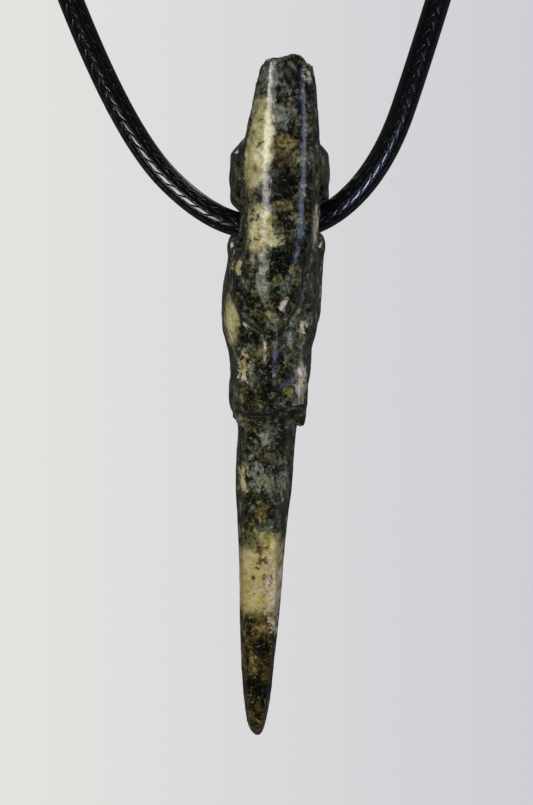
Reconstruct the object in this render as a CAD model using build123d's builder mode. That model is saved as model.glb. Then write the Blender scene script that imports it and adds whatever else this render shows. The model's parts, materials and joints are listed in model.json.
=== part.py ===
from build123d import *

import math
import os
from collections import namedtuple

# A carved stone gargoyle that hangs from a round braided neck cord.
# Millimetres, +Z up. The origin is the nape point, on the underside of the clasp.
# The gargoyle's back faces -Y and its face looks along +Y.
# It is carved evenly about its own middle plane, and hangs a little out of true.

# Carving
CARVING_HEIGHT = 81.4
CARVING_WIDTH = 12.0
CARVING_DEPTH = 22.5
HOLE_BELOW_TOP = 20.1
HOLE_FROM_BACK = 9.8
HOLE_CLEARANCE = 0.8
MOUTH_FLARE = 0.5
MOUTH_DEPTH = 2.2
LEAN_DEG = 2.7
LEAN_SHIFT = -0.2

# Cord and clasp
CORD_DIAMETER = 3.0
HOLE_DROP = 168.0
CLASP_LENGTH = 26.0
CLASP_DIAMETER = 5.4
CLASP_CUP_WALL = 0.6
CLASP_TAPER = 5.0
CLASP_LEAD = 13.0
GROOVE_WIDTH = 0.8
GROOVE_DEPTH = 0.3
CLASP_EDGE = 0.3

# Each arc of the cord's tube takes this share of the shorter run beside it.
ARC_SHARE = 0.45

# The cord's route in the X and Z plane, measured from the middle of the hole:
# down the left side, through the stone, and up the right side. The clasp sets its two ends.
CORD_ROUTE = [
    (-42.5, 164.2),
    (-54.5, 146.7),
    (-58.5, 121.7),
    (-53.0, 96.7),
    (-43.0, 72.2),
    (-32.4, 48.2),
    (-24.8, 25.7),
    (-16.8, 8.9),
    (-9.4, 1.6),
    (-2.9, -0.8),
    (5.6, 0.1),
    (12.7, 7.5),
    (17.0, 20.0),
    (23.7, 42.2),
    (32.7, 65.7),
    (43.2, 90.7),
    (52.0, 114.7),
    (52.0, 140.7),
    (42.0, 161.7),
]

# Heights are shares of CARVING_HEIGHT, measured down from the top.
# Widths are shares of half CARVING_WIDTH, measured out from the middle plane.
# Depths are shares of CARVING_DEPTH, measured forwards from the back.

# Lean is how far a whole section stands to the right of the middle plane.

# Folded wings, from their tips above the head to the point of the shield behind the hips:
# the flat band down the back, the flaring side walls and where the wings end in front.
WingRow = namedtuple("WingRow", "drop lean band back wall wall_depth front")
WINGS = [
    WingRow(0.000, 0.12, 0.15, 0.190, 0.22, 0.23, 0.290),
    WingRow(0.012, 0.03, 0.31, 0.160, 0.44, 0.26, 0.350),
    WingRow(0.047, 0.04, 0.34, 0.115, 0.57, 0.30, 0.420),
    WingRow(0.100, 0.03, 0.35, 0.070, 0.64, 0.33, 0.480),
    WingRow(0.130, 0.00, 0.35, 0.050, 0.73, 0.36, 0.500),
    WingRow(0.175, 0.00, 0.34, 0.025, 0.77, 0.38, 0.520),
    WingRow(0.247, 0.02, 0.33, 0.000, 0.79, 0.38, 0.520),
    WingRow(0.314, -0.04, 0.27, 0.000, 0.81, 0.36, 0.470),
    WingRow(0.349, -0.08, 0.21, 0.008, 0.79, 0.33, 0.420),
    WingRow(0.371, -0.08, 0.16, 0.018, 0.69, 0.29, 0.370),
    WingRow(0.388, -0.08, 0.12, 0.025, 0.56, 0.24, 0.320),
    WingRow(0.402, -0.07, 0.10, 0.030, 0.38, 0.17, 0.260),
    WingRow(0.419, -0.06, 0.05, 0.045, 0.09, 0.09, 0.180),
]

# Body, corbel and spike in one run: the ridge of the spine, the back, the widest flank
# and the front. Twist is how far the ridge alone turns off to the right down the spike.
BodyRow = namedtuple(
    "BodyRow",
    "drop lean twist ridge ridge_depth back back_depth flank flank_depth front front_depth",
)
BODY = [
    BodyRow(0.205, 0.00, 0.00, 0.10, 0.150, 0.45, 0.180, 0.70, 0.400, 0.45, 0.580),
    BodyRow(0.250, 0.00, 0.00, 0.10, 0.120, 0.50, 0.150, 0.74, 0.480, 0.50, 0.640),
    BodyRow(0.264, -0.02, 0.00, 0.10, 0.105, 0.52, 0.135, 0.95, 0.600, 0.56, 0.680),
    BodyRow(0.310, -0.04, 0.00, 0.10, 0.080, 0.56, 0.110, 0.97, 0.540, 0.58, 0.710),
    BodyRow(0.358, -0.06, 0.00, 0.10, 0.062, 0.66, 0.110, 1.00, 0.450, 0.52, 0.710),
    BodyRow(0.394, -0.06, 0.00, 0.10, 0.052, 0.66, 0.110, 0.96, 0.400, 0.46, 0.750),
    BodyRow(0.429, -0.05, 0.00, 0.10, 0.045, 0.55, 0.110, 0.83, 0.390, 0.40, 0.800),
    BodyRow(0.466, -0.05, 0.00, 0.10, 0.045, 0.55, 0.110, 0.76, 0.380, 0.40, 0.780),
    BodyRow(0.508, -0.03, 0.00, 0.10, 0.060, 0.60, 0.120, 0.78, 0.360, 0.42, 0.740),
    BodyRow(0.520, -0.03, 0.02, 0.10, 0.085, 0.52, 0.140, 0.73, 0.360, 0.44, 0.730),
    BodyRow(0.530, -0.02, 0.03, 0.09, 0.150, 0.42, 0.185, 0.62, 0.380, 0.50, 0.750),
    BodyRow(0.545, 0.00, 0.05, 0.08, 0.165, 0.36, 0.205, 0.60, 0.420, 0.52, 0.780),
    BodyRow(0.560, 0.00, 0.08, 0.07, 0.170, 0.34, 0.210, 0.58, 0.420, 0.48, 0.730),
    BodyRow(0.609, -0.01, 0.12, 0.05, 0.180, 0.34, 0.220, 0.58, 0.400, 0.38, 0.600),
    BodyRow(0.706, -0.02, 0.17, 0.05, 0.205, 0.30, 0.240, 0.475, 0.390, 0.31, 0.545),
    BodyRow(0.784, 0.00, 0.22, 0.04, 0.235, 0.30, 0.265, 0.42, 0.395, 0.27, 0.515),
    BodyRow(0.858, 0.02, 0.19, 0.04, 0.270, 0.26, 0.295, 0.37, 0.410, 0.23, 0.500),
    BodyRow(0.936, 0.04, 0.14, 0.03, 0.325, 0.19, 0.340, 0.29, 0.430, 0.18, 0.490),
    BodyRow(0.977, 0.06, 0.06, 0.02, 0.375, 0.11, 0.385, 0.20, 0.445, 0.12, 0.485),
    BodyRow(0.992, 0.08, 0.02, 0.02, 0.410, 0.07, 0.415, 0.13, 0.455, 0.08, 0.480),
    BodyRow(1.000, 0.09, 0.00, 0.01, 0.440, 0.03, 0.442, 0.05, 0.460, 0.03, 0.472),
]

# Head, from the nape to the end of the muzzle. The jaw and the crown are shares of its half.
JAW_SHARE = 0.62
CROWN_SHARE = 0.66
HeadRow = namedtuple("HeadRow", "depth half top shoulder_drop cheek_drop bottom")
HEAD = [
    HeadRow(0.370, 0.62, 0.140, 0.155, 0.195, 0.207),
    HeadRow(0.440, 0.88, 0.126, 0.148, 0.209, 0.226),
    HeadRow(0.580, 0.97, 0.112, 0.150, 0.213, 0.240),
    HeadRow(0.700, 0.91, 0.114, 0.144, 0.220, 0.250),
    HeadRow(0.770, 0.80, 0.128, 0.148, 0.226, 0.254),
    HeadRow(0.800, 0.60, 0.160, 0.172, 0.228, 0.255),
    HeadRow(0.900, 0.50, 0.176, 0.190, 0.230, 0.254),
    HeadRow(0.985, 0.42, 0.186, 0.198, 0.232, 0.250),
    HeadRow(1.000, 0.30, 0.196, 0.206, 0.228, 0.244),
]

# Limbs, horns and ears are chains of rings. Each ring has its place, its half width
# across the figure and its half thickness, both as shares of half CARVING_WIDTH.
RingRow = namedtuple("RingRow", "out depth drop wide thick")
ARM = [
    RingRow(0.60, 0.590, 0.258, 0.20, 0.24),
    RingRow(0.68, 0.595, 0.288, 0.28, 0.36),
    RingRow(0.72, 0.590, 0.335, 0.26, 0.31),
    RingRow(0.73, 0.610, 0.372, 0.23, 0.27),
    RingRow(0.67, 0.700, 0.394, 0.22, 0.25),
    RingRow(0.60, 0.800, 0.410, 0.20, 0.22),
    RingRow(0.54, 0.870, 0.424, 0.22, 0.20),
    RingRow(0.52, 0.895, 0.448, 0.16, 0.12),
]
THIGH = [
    RingRow(0.40, 0.150, 0.490, 0.24, 0.34),
    RingRow(0.46, 0.230, 0.474, 0.32, 0.58),
    RingRow(0.50, 0.420, 0.455, 0.32, 0.60),
    RingRow(0.52, 0.640, 0.436, 0.30, 0.46),
    RingRow(0.53, 0.800, 0.430, 0.28, 0.36),
    RingRow(0.53, 0.865, 0.432, 0.18, 0.22),
]
SHIN = [
    RingRow(0.53, 0.780, 0.432, 0.24, 0.28),
    RingRow(0.51, 0.770, 0.465, 0.25, 0.30),
    RingRow(0.50, 0.720, 0.498, 0.21, 0.24),
    RingRow(0.49, 0.690, 0.520, 0.22, 0.26),
]
FOOT = [
    RingRow(0.46, 0.560, 0.524, 0.16, 0.12),
    RingRow(0.48, 0.610, 0.521, 0.21, 0.22),
    RingRow(0.50, 0.720, 0.519, 0.24, 0.25),
    RingRow(0.51, 0.860, 0.527, 0.25, 0.19),
    RingRow(0.51, 0.930, 0.536, 0.22, 0.12),
]
HORN = [
    RingRow(0.34, 0.640, 0.135, 0.22, 0.24),
    RingRow(0.40, 0.620, 0.098, 0.17, 0.18),
    RingRow(0.44, 0.560, 0.068, 0.11, 0.12),
    RingRow(0.42, 0.480, 0.048, 0.04, 0.04),
]
EAR = [
    RingRow(0.84, 0.650, 0.188, 0.10, 0.20),
    RingRow(0.88, 0.550, 0.174, 0.13, 0.40),
    RingRow(0.73, 0.410, 0.144, 0.10, 0.34),
    RingRow(0.54, 0.270, 0.100, 0.03, 0.05),
]
BROW = [
    RingRow(0.06, 0.790, 0.160, 0.10, 0.10),
    RingRow(0.32, 0.812, 0.145, 0.13, 0.13),
    RingRow(0.60, 0.770, 0.135, 0.13, 0.13),
    RingRow(0.85, 0.680, 0.146, 0.07, 0.08),
]
RING_SIDES = 8

half_width = CARVING_WIDTH / 2


def depth_at(share):
    return share * CARVING_DEPTH - HOLE_FROM_BACK


def height_at(drop):
    return HOLE_BELOW_TOP - drop * CARVING_HEIGHT


def outline(right_side, lean=0.0):
    """A closed outline, even about its own middle, from its points on the right side."""
    left_side = [(-x, y) for x, y in reversed(right_side)]
    return [(x + lean * half_width, y) for x, y in right_side + left_side]


def wing_outline(row):
    band, wall = row.band * half_width, row.wall * half_width
    back, side, front = depth_at(row.back), depth_at(row.wall_depth), depth_at(row.front)
    return outline([(band, back), (wall, side), (wall, front)], row.lean)


def body_outline(row):
    back, flank, front = row.back * half_width, row.flank * half_width, row.front * half_width
    right_side = [
        (back, depth_at(row.back_depth)),
        (flank, depth_at(row.flank_depth)),
        (front, depth_at(row.front_depth)),
    ]
    ridge_depth = depth_at(row.ridge_depth)
    ridge = [(row.lean + row.twist + side * row.ridge) * half_width for side in (-1, 1)]
    return [(x, ridge_depth) for x in ridge] + outline(right_side, row.lean)


def head_outline(row):
    half = row.half * half_width
    top, shoulder = height_at(row.top), height_at(row.shoulder_drop)
    cheek, bottom = height_at(row.cheek_drop), height_at(row.bottom)
    jaw, crown = JAW_SHARE * half, CROWN_SHARE * half
    return outline([(jaw, bottom), (half, cheek), (half, shoulder), (crown, top)])


def section(plane, points):
    with BuildSketch(plane) as closed:
        with BuildLine():
            Polyline(*points, close=True)
        make_face()
    return closed.sketch


def chain_sections(rows):
    """Eight-sided rings along a chain, each set square to the run of the chain at its place."""
    sections = []
    centres = [
        Vector(row.out * half_width, depth_at(row.depth), height_at(row.drop)) for row in rows
    ]
    for place, row in enumerate(rows):
        before, after = max(place - 1, 0), min(place + 1, len(rows) - 1)
        along = (centres[after] - centres[before]).normalized()
        across = Vector(1, 0, 0) - along * along.X
        wide, thick = row.wide * half_width, row.thick * half_width
        corners = [
            (
                wide * math.cos(2 * math.pi * (corner + 0.5) / RING_SIDES),
                thick * math.sin(2 * math.pi * (corner + 0.5) / RING_SIDES),
            )
            for corner in range(RING_SIDES)
        ]
        sections.append(section(Plane(centres[place], x_dir=across, z_dir=along), corners))
    return sections


def level_sections(rows, row_outline):
    return [section(Plane.XY.offset(height_at(row.drop)), row_outline(row)) for row in rows]


def head_sections(rows):
    planes = [Plane((0, depth_at(row.depth), 0), x_dir=(1, 0, 0), z_dir=(0, -1, 0)) for row in rows]
    return [section(plane, head_outline(row)) for plane, row in zip(planes, rows)]


# Carving, upright about the hole
with BuildPart() as limbs:
    for chain in (ARM, THIGH, SHIN, FOOT, HORN, EAR, BROW):
        loft(chain_sections(chain), ruled=True)

with BuildPart() as upright:
    loft(level_sections(BODY, body_outline), ruled=True)
    loft(level_sections(WINGS, wing_outline), ruled=True)
    loft(head_sections(HEAD), ruled=True)
    add(limbs.part)
    mirror(limbs.part, about=Plane.YZ)

# Gargoyle, leaning as it hangs, with the cord's hole drilled straight across the neck
hole_point = (0, 0, -HOLE_DROP)
hole_radius = CORD_DIAMETER / 2 + HOLE_CLEARANCE
mouth_radius = hole_radius + MOUTH_FLARE
neck_row = min(WINGS, key=lambda row: abs(height_at(row.drop)))
neck_half = neck_row.wall * half_width
with BuildPart() as gargoyle:
    with Locations(Location((LEAN_SHIFT, 0, -HOLE_DROP), (0, LEAN_DEG, 0))):
        add(upright.part)
    with BuildSketch(Plane(hole_point, x_dir=(1, 0, 0), z_dir=(0, -1, 0))):
        with BuildLine():
            Polyline(
                (-CARVING_WIDTH, 0),
                (-CARVING_WIDTH, mouth_radius),
                (-neck_half, mouth_radius),
                (MOUTH_DEPTH - neck_half, hole_radius),
                (neck_half - MOUTH_DEPTH, hole_radius),
                (neck_half, mouth_radius),
                (CARVING_WIDTH, mouth_radius),
                (CARVING_WIDTH, 0),
                close=True,
            )
        make_face()
    revolve(axis=Axis(hole_point, (1, 0, 0)), mode=Mode.SUBTRACT)

# Clasp, a plain turned barrel across the nape, as wide at its ends as a cup round the cord
clasp_radius = CLASP_DIAMETER / 2
clasp_half = CLASP_LENGTH / 2
cup_radius = CORD_DIAMETER / 2 + CLASP_CUP_WALL
groove_half = GROOVE_WIDTH / 2
groove_radius = clasp_radius - GROOVE_DEPTH
clasp_middle = (0, 0, clasp_radius)
with BuildPart() as clasp:
    with BuildSketch(Plane(clasp_middle, x_dir=(1, 0, 0), z_dir=(0, -1, 0))):
        with BuildLine():
            Polyline(
                (-clasp_half, 0),
                (-clasp_half, cup_radius),
                (CLASP_TAPER - clasp_half, clasp_radius),
                (-groove_half, clasp_radius),
                (-groove_half, groove_radius),
                (groove_half, groove_radius),
                (groove_half, clasp_radius),
                (clasp_half - CLASP_TAPER, clasp_radius),
                (clasp_half, cup_radius),
                (clasp_half, 0),
                close=True,
            )
        make_face()
    revolve(axis=Axis(clasp_middle, (1, 0, 0)))
    end_edges = clasp.edges().group_by(Axis.X)
    fillet(end_edges[0] + end_edges[-1], CLASP_EDGE)


def corner_radius(before, corner, after):
    """The largest even arc that the two runs beside a corner of the route allow."""
    turn = math.radians((corner - before).get_angle(after - corner))
    shorter = min((corner - before).length, (after - corner).length)
    return ARC_SHARE * shorter / math.tan(turn / 2)


# Cord, one round braid from one end of the clasp to the other, through the stone
nape_height = HOLE_DROP + clasp_radius
left_end = [(-clasp_half, nape_height), (-clasp_half - CLASP_LEAD, nape_height)]
right_end = [(clasp_half + CLASP_LEAD, nape_height), (clasp_half, nape_height)]
route = [Vector(x, 0, z - HOLE_DROP) for x, z in left_end + CORD_ROUTE + right_end]
radii = [corner_radius(*route[place : place + 3]) for place in range(len(route) - 2)]
with BuildPart() as cord:
    with BuildLine() as cord_line:
        FilletPolyline(*route, radius=radii)
    with BuildSketch(Plane(route[0], z_dir=route[1] - route[0])):
        Circle(CORD_DIAMETER / 2)
    sweep()

gargoyle.part.label = "gargoyle"
cord.part.label = "cord"
clasp.part.label = "clasp"

os.makedirs("parts", exist_ok=True)
export_step(gargoyle.part, "parts/gargoyle.step")
export_step(cord.part, "parts/cord.step")
export_step(clasp.part, "parts/clasp.step")

cord_length = cord_line.wires()[0].length
tube_volume = math.pi * CORD_DIAMETER**2 / 4 * cord_length
print("cord radii", [round(radius, 1) for radius in radii])
print("cord length", round(cord_length, 1), "loop", round(cord_length + CLASP_LENGTH, 1))
print("cord volume", round(cord.part.volume), "section times length", round(tube_volume))
print("gargoyle volume", round(gargoyle.part.volume), "centre", gargoyle.part.center())
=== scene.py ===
import json
import math
from functools import reduce

import bpy
import numpy as np
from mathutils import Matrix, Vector


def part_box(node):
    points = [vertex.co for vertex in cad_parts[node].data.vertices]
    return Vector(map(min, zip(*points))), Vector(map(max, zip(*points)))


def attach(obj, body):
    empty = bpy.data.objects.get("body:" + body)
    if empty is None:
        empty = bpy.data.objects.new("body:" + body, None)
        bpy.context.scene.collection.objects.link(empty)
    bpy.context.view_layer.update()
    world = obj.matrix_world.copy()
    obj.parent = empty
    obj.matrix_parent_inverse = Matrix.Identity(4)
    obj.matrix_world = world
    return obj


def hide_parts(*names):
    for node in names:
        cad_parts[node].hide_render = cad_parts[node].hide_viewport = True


# Looks of a carved stone gargoyle that hangs from a round braided neck cord.
# Carving sizes are millimetres from the middle of the cord hole: x to the right,
# y forwards from the back to the face, z up. Everything in the scene is in metres.

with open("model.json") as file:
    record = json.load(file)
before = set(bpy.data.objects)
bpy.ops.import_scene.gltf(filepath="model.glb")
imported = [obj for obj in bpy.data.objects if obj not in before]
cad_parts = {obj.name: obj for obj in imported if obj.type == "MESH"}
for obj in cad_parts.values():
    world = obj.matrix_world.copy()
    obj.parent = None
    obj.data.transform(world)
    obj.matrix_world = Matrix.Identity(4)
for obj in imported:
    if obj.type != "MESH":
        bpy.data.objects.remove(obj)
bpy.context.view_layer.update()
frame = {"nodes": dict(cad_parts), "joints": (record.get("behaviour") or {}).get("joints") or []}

MM = 0.001
HOLE = Vector(frame["joints"][0]["pos_m"])
CORD_DIAMETER = 3.0 * MM
CORD_RADIUS = CORD_DIAMETER / 2


def show(name, data, finish=None):
    """A new object in the scene for a mesh, curve, lens or lamp."""
    made = bpy.data.objects.new(name, data)
    bpy.context.scene.collection.objects.link(made)
    if finish:
        data.materials.append(finish)
    return made


# Camera, square to the back of the carving, at the photograph's scale
PICTURE_WIDE = 533
PICTURE_HIGH = 805
PIXEL = 0.12 * MM
HOLE_COLUMN = 279
HOLE_ROW = 224.5
CAMERA_AWAY = 0.8
SENSOR = 36.0


def make_camera():
    """A long lens that looks along +Y, framed on the picture by the place of the cord hole."""
    lens = bpy.data.cameras.new("camera")
    lens.sensor_width = SENSOR
    lens.lens = SENSOR * CAMERA_AWAY / (PICTURE_HIGH * PIXEL)
    camera = show("camera", lens)
    right = (PICTURE_WIDE / 2 - HOLE_COLUMN) * PIXEL
    up = (HOLE_ROW - PICTURE_HIGH / 2) * PIXEL
    camera.location = HOLE + Vector((right, -CAMERA_AWAY, up))
    camera.rotation_euler = (math.radians(90), 0, 0)
    bpy.context.scene.camera = camera


make_camera()


def vertex_array(collection, name):
    """The three numbers of each item in a mesh's collection, one row for each item."""
    values = np.empty(len(collection) * 3)
    collection.foreach_get(name, values)
    return values.reshape(-1, 3)


def turns(sides):
    """Even angles round a circle."""
    return np.linspace(0, 2 * math.pi, sides, endpoint=False)


def unit(rows):
    """Each row divided by its own length."""
    return rows / np.linalg.norm(rows, axis=1)[:, None]


def grid_faces(rows, sides):
    """Quads of a grid of rows round a closed section, with the two ends as one face each."""
    place = np.arange((rows - 1) * sides)
    beside = place - place % sides + (place + 1) % sides
    quads = np.stack([place, beside, beside + sides, place + sides], axis=1).tolist()
    start = list(range(sides))[::-1]
    end = list(range((rows - 1) * sides, rows * sides))
    return quads + [start, end]


def outward(points, faces):
    """Turns a closed grid's faces over where the volume inside them comes out negative. Six
    times that volume is the sum of a . (b x c) over the triangles that its faces are cut into."""
    first, second, third, fourth = np.moveaxis(points[np.array(faces[:-2])], 1, 0)
    volume = np.sum(first * (np.cross(second, third) + np.cross(third, fourth)))
    for end in faces[-2:]:
        ring = points[end]
        volume += np.sum(ring[0] * np.cross(ring[1:-1], ring[2:]))
    return faces if volume > 0 else [face[::-1] for face in faces]


# Finishes
def maths(operation, reflected=False):
    """A method of a value, which adds a Math node for it and what it is worked out with."""

    def method(self, *others):
        values = (*others, self) if reflected else (self, *others)
        return self.finish.node("Math", {"operation": operation}, dict(enumerate(values)))

    return method


class Value:
    """A socket of a finish. Sums with it are written as Python and become Math nodes."""

    def __init__(self, finish, socket):
        self.finish = finish
        self.socket = socket

    __add__ = maths("ADD")
    __radd__ = maths("ADD", reflected=True)
    __sub__ = maths("SUBTRACT")
    __rsub__ = maths("SUBTRACT", reflected=True)
    __mul__ = maths("MULTIPLY")
    __rmul__ = maths("MULTIPLY", reflected=True)
    __truediv__ = maths("DIVIDE")
    __mod__ = maths("FLOORED_MODULO")
    __abs__ = maths("ABSOLUTE")
    __pow__ = maths("POWER")
    __gt__ = maths("GREATER_THAN")
    floor = maths("FLOOR")
    most = maths("MAXIMUM")


class Finish:
    """A material or world under way, with one method that makes all of its nodes."""

    def __init__(self, name, kind="materials"):
        self.owner = getattr(bpy.data, kind).new(name)
        self.owner.use_nodes = True
        self.tree = self.owner.node_tree
        self.tree.nodes.clear()

    def node(self, kind, settings=None, inputs=None, output=0):
        """A node of a kind, its settings first and then the values or links of its sockets."""
        made = self.tree.nodes.new("ShaderNode" + kind)
        for name, value in (settings or {}).items():
            if name == "stops":
                self.set_stops(made.color_ramp, value)
            else:
                setattr(made, name, value)
        for key, value in (inputs or {}).items():
            if isinstance(value, Value):
                self.tree.links.new(value.socket, made.inputs[key])
            else:
                made.inputs[key].default_value = value
        return Value(self, made.outputs[output]) if made.outputs else None

    def set_stops(self, ramp, stops):
        while len(ramp.elements) < len(stops):
            ramp.elements.new(1.0)
        for element, (place, *colour) in zip(ramp.elements, stops):
            element.position = place
            element.color = (*colour, 1.0)

    def places(self):
        """Object coordinates in millimetres from the row's origin."""
        metres = self.node("TexCoord", output=3)
        return self.vector("SCALE", metres, Scale=1 / MM)

    def vector(self, operation, *inputs, output=0, **named):
        sockets = {**dict(enumerate(inputs)), **named}
        return self.node("VectorMath", {"operation": operation}, sockets, output)

    def mix(self, share, first, second):
        first, second = (c if isinstance(c, Value) else (*c, 1.0) for c in (first, second))
        inputs = {0: share, 6: first, 7: second}
        return self.node("Mix", {"data_type": "RGBA"}, inputs, 2)

    def split(self, value, kind="XYZ"):
        """The three parts of a vector or colour."""
        first = self.node("Separate" + kind, inputs={0: value})
        return [Value(self, first.socket.node.outputs[part]) for part in range(3)]

    def noise(self, place, per_mm, detail, roughness=0.5, distortion=0.0, output=0):
        """Noise from 0 to 1, by its scale, detail, roughness and distortion in that order."""
        inputs = {"Vector": place, "Scale": per_mm, "Detail": detail, "Roughness": roughness,
                  "Distortion": distortion}
        return self.node("TexNoise", inputs=inputs, output=output)

    def cells(self, place, per_mm, output=0):
        inputs = {"Vector": place, "Scale": per_mm}
        return self.node("TexVoronoi", inputs=inputs, output=output)

    def ramp(self, share, stops):
        return self.node("ValToRGB", {"stops": stops}, {0: share})

    def smooth(self, value, low, high, start=0.0, end=1.0, kind="SMOOTHSTEP"):
        """A value taken from start to end while it goes from low to high, eased or LINEAR."""
        settings = {"interpolation_type": kind}
        inputs = {0: value, 1: low, 2: high, 3: start, 4: end}
        return self.node("MapRange", settings, inputs)

    def bump(self, height, metres, strength=1.0):
        inputs = {"Strength": strength, "Distance": metres, "Height": height}
        return self.node("Bump", inputs=inputs)

    def surface(self, **inputs):
        """A Principled surface whose sockets are named with underscores for spaces."""
        sockets = {name.replace("_", " "): value for name, value in inputs.items()}
        shader = self.node("BsdfPrincipled", inputs=sockets)
        self.node("OutputMaterial", inputs={0: shader})
        return self.owner


# Cord
# Its route from one end of the clasp, down the left side, through the stone and up the right
# side to the other end, as x and z from the middle of the hole in millimetres.
CORD_ROUTE = [
    (-42.5, 164.2), (-54.5, 146.7), (-58.5, 121.7), (-53, 96.7), (-43, 72.2), (-32.4, 48.2),
    (-24.8, 25.7), (-16.8, 8.9), (-9.4, 1.6), (-2.9, -0.8), (5.6, 0.1), (12.7, 7.5), (17, 20),
    (23.7, 42.2), (32.7, 65.7), (43.2, 90.7), (52, 114.7), (52, 140.7), (42, 161.7),
]
CLASP_LEAD = 13.0 * MM
SPLINE_STEPS = 96

# Its plait: columns of flat stitches round it, how long a stitch is, how far its ends lean
# across a column, and how deep the seams between stitches are
PLAIT_COLUMNS = 16
STITCH = 1.95 * MM
STITCH_LEAN = 0.5
SEAM_DEPTH = 0.02 * MM
# How far the edges of a stitch rise above the cord's own roundness, in millimetres
STITCH_FLATNESS = 0.016
RING_SIDES = 64
HALF_SIDE = 0.5 / RING_SIDES
RING_STEP = 0.3 * MM

clasp_low, clasp_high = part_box("clasp")


def cord_line():
    """Points along the NURBS spline that has the route's points as its control points."""
    nape = (clasp_low.z + clasp_high.z) / 2
    route = [(clasp_low.x, nape), (clasp_low.x - CLASP_LEAD, nape)]
    route += [(HOLE.x + x * MM, HOLE.z + z * MM) for x, z in CORD_ROUTE]
    route += [(clasp_high.x + CLASP_LEAD, nape), (clasp_high.x, nape)]
    curve = bpy.data.curves.new("cord_route", "CURVE")
    curve.dimensions = "3D"
    spline = curve.splines.new("NURBS")
    spline.points.add(len(route) - 1)
    for point, (x, z) in zip(spline.points, route):
        point.co = (x, HOLE.y, z, 1.0)
    spline.order_u = 3
    spline.use_endpoint_u = True
    spline.resolution_u = SPLINE_STEPS
    holder = show("cord_route", curve)
    line = bpy.data.meshes.new_from_object(holder)
    bpy.data.objects.remove(holder)
    return vertex_array(line.vertices, "co")


def plait_height(column, across, along):
    """How far the plait stands proud, 0 in a seam to 1 on a stitch, for arrays and for sockets.
    Round the cord the surface is cut into columns, and each column is cut along its length
    into stitches, half a stitch later in every second one, with ends that lean one way and
    then the other. A stitch is flat, as one less an eighth power across and along it."""
    odd = column % 2
    lean = STITCH_LEAN * (1 - 2 * odd) * across
    on = (along / STITCH + odd / 2 + lean) % 1 - 0.5
    return (1 - abs(2 * across) ** 8) * (1 - abs(2 * on) ** 8)


def make_cord():
    """A tube carried along the spline: at every ring its radius is the cord's own, less the
    seam's depth where two stitches meet. The line lies in one plane, so the rings' two axes are
    that plane's normal and the line's own normal. Its UV map is metres along and turns round."""
    line = cord_line()
    steps = np.linalg.norm(np.diff(line, axis=0), axis=1)
    travelled = np.concatenate([[0], np.cumsum(steps)])
    rings = int(travelled[-1] / RING_STEP)
    along = np.linspace(0, travelled[-1], rings)
    centres = np.stack([np.interp(along, travelled, line[:, axis]) for axis in range(3)], axis=1)
    level = np.array([0.0, 1.0, 0.0])
    up = np.cross(unit(np.gradient(centres, axis=0)), level)
    around = np.arange(RING_SIDES) / RING_SIDES
    angle = 2 * math.pi * around
    turned = PLAIT_COLUMNS * (around + HALF_SIDE)
    column = np.floor(turned)
    height = plait_height(column, turned - column - 0.5, along[:, None])
    radius = CORD_RADIUS - SEAM_DEPTH * (1 - height)
    spokes = np.cos(angle)[None, :, None] * up[:, None] + np.sin(angle)[None, :, None] * level
    points = (centres[:, None] + radius[:, :, None] * spokes).reshape(-1, 3)
    faces = outward(points, grid_faces(rings, RING_SIDES))
    mesh = bpy.data.meshes.new("cord")
    mesh.from_pydata(points.tolist(), [], faces)
    mesh.shade_smooth()
    corners = np.empty(len(mesh.loops), dtype=np.int32)
    mesh.loops.foreach_get("vertex_index", corners)
    ring, turn = corners // RING_SIDES, corners % RING_SIDES / RING_SIDES
    # The last quad of each ring goes on to a whole turn instead of back to none
    quads = turn[:-2 * RING_SIDES].reshape(-1, 4)
    quads[(quads.max(axis=1) > 0.5)[:, None] & (quads == 0)] = 1
    mesh.uv_layers.new(name="plait").data.foreach_set("uv", np.stack([along[ring], turn], 1).ravel())
    return show("braided_cord", mesh), centres


def cord_finish():
    """Black waxed plait: the same flat stitches as the relief, as a fine bump, with dull seams
    and a little lint."""
    finish = Finish("waxed_black_plait")
    along, around, _ = finish.split(finish.node("UVMap", {"uv_map": "plait"}))
    turned = PLAIT_COLUMNS * (around + HALF_SIDE)
    column = turned.floor()
    across = turned - column - 0.5
    height = plait_height(column, across, along)
    place = finish.places()
    fibre = finish.noise(place, 7.0, 2)
    wax = finish.noise(place, 1.1, 4, 0.6)
    spot = finish.cells(place, 0.9)
    chance = finish.split(finish.cells(place, 0.9, output=1), "Color")[0]
    lint = finish.smooth(spot, 0.14, 0.07) * (chance > 0.82)
    colour = finish.mix(finish.smooth(height, 0.1, 0.7), (0.001, 0.001, 0.001), (0.005, 0.005, 0.006))
    colour = finish.mix(lint * 0.5, colour, (0.2, 0.2, 0.22))
    roughness = finish.smooth(wax, 0.3, 0.7, 0.10, 0.20) + finish.smooth(height, 0.2, 0.8, 0.12, 0.0)
    relief = height * 0.035 + fibre * 0.0005 + abs(across * 2.0) ** 2.0 * STITCH_FLATNESS
    normal = finish.bump(relief, 1.0 * MM)
    return finish.surface(
        Base_Color=colour, Roughness=roughness, Normal=normal, Specular_IOR_Level=0.38
    )


cord, cord_centres = make_cord()
cord.data.materials.append(cord_finish())
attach(cord, "necklace")
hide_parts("cord")


# Carving: how far the figure leans to one side, and how far its middle is off the hole's
LEAN_DEG = 2.7
LEAN_SHIFT = -0.2


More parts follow.
